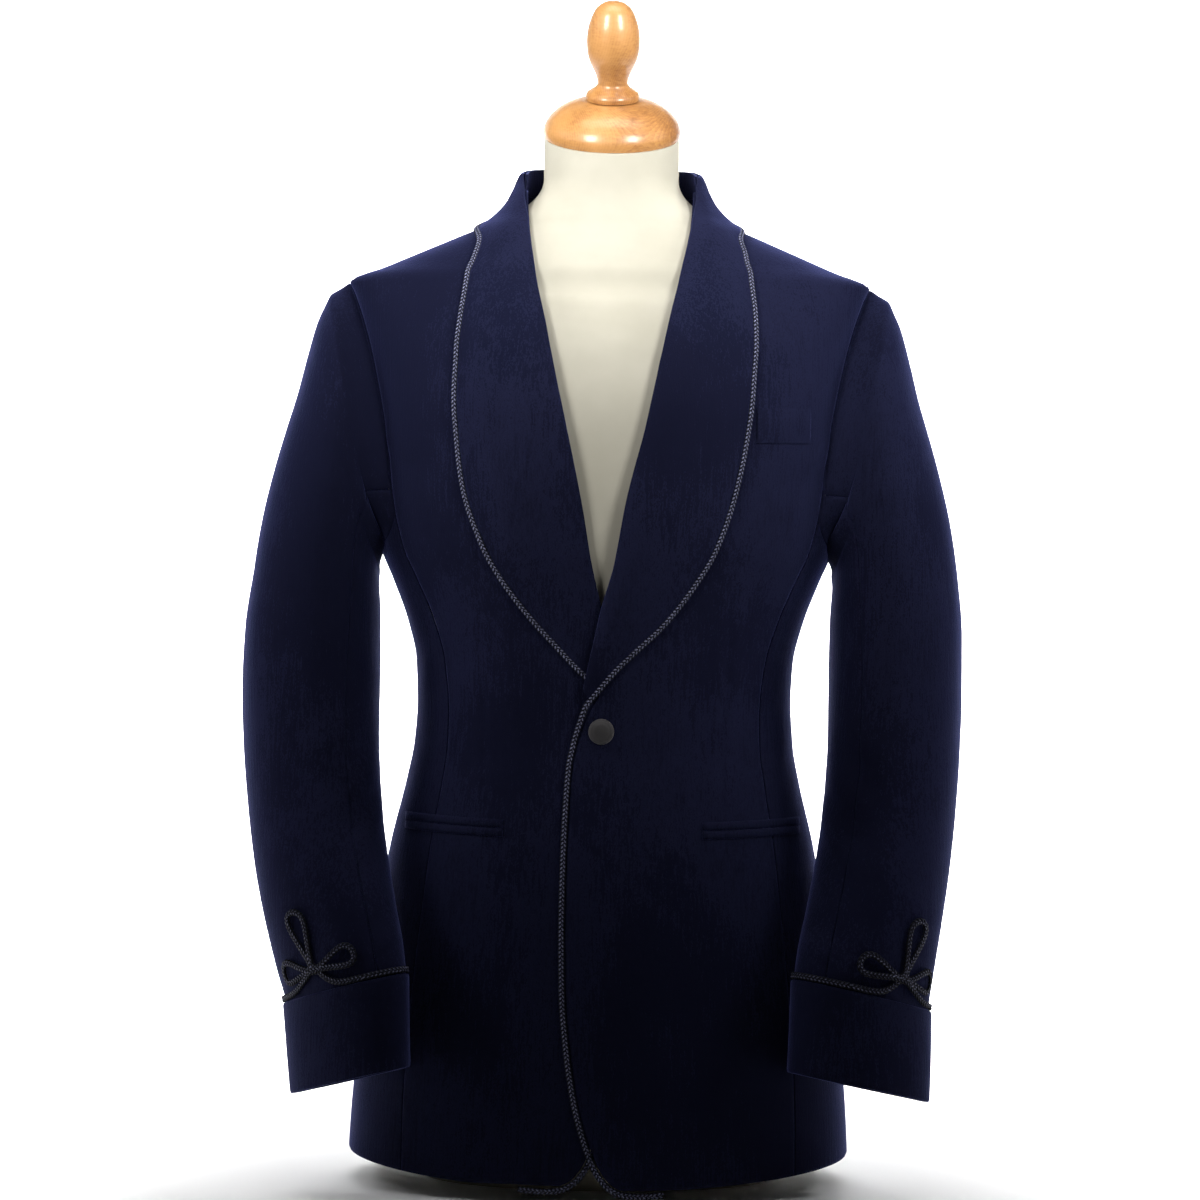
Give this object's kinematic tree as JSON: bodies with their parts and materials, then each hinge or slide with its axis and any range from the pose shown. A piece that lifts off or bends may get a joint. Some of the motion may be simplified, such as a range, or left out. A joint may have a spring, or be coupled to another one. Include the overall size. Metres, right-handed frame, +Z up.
{
  "type": "smoking jacket on a dress form",
  "caption": "Navy velvet smoking jacket with a shawl collar and plaited cord edging, worn by a limbless dress form with a turned wooden neck cap.",
  "frame": {"origin": "middle of the form's flat base, on the surface it stands on", "axes": "+Z up, -Y to the front of the jacket, +X to the wearer's left"},
  "size_m": [0.5721, 0.2811, 0.9346],
  "materials": {
    "velvet": "cotton velvet, matt with a soft nap",
    "braid": "plaited cord",
    "satin": "satin cover, soft sheen",
    "form_cloth": "plain cotton cover",
    "beech": "clear gloss varnish"
  },
  "bodies": {
    "root": {"front_left": "velvet", "side_left": "velvet", "back_left": "velvet", "collar_left": "velvet", "top_sleeve_left": "velvet", "under_sleeve_left": "velvet", "cuff_left": "velvet", "hip_jet_upper_left": "velvet", "hip_jet_lower_left": "velvet", "edge_braid_left": "braid", "cuff_braid_left": "braid", "front_right": "velvet", "side_right": "velvet", "back_right": "velvet", "collar_right": "velvet", "top_sleeve_right": "velvet", "under_sleeve_right": "velvet", "cuff_right": "velvet", "hip_jet_upper_right": "velvet", "hip_jet_lower_right": "velvet", "edge_braid_right": "braid", "cuff_braid_right": "braid", "hem_braid_right": "braid", "breast_welt": "velvet", "collar_stand": "velvet", "front_button": "satin", "form_torso": "form_cloth", "form_neck_cap": "beech", "form_finial": "beech"}
  },
  "joints": []
}
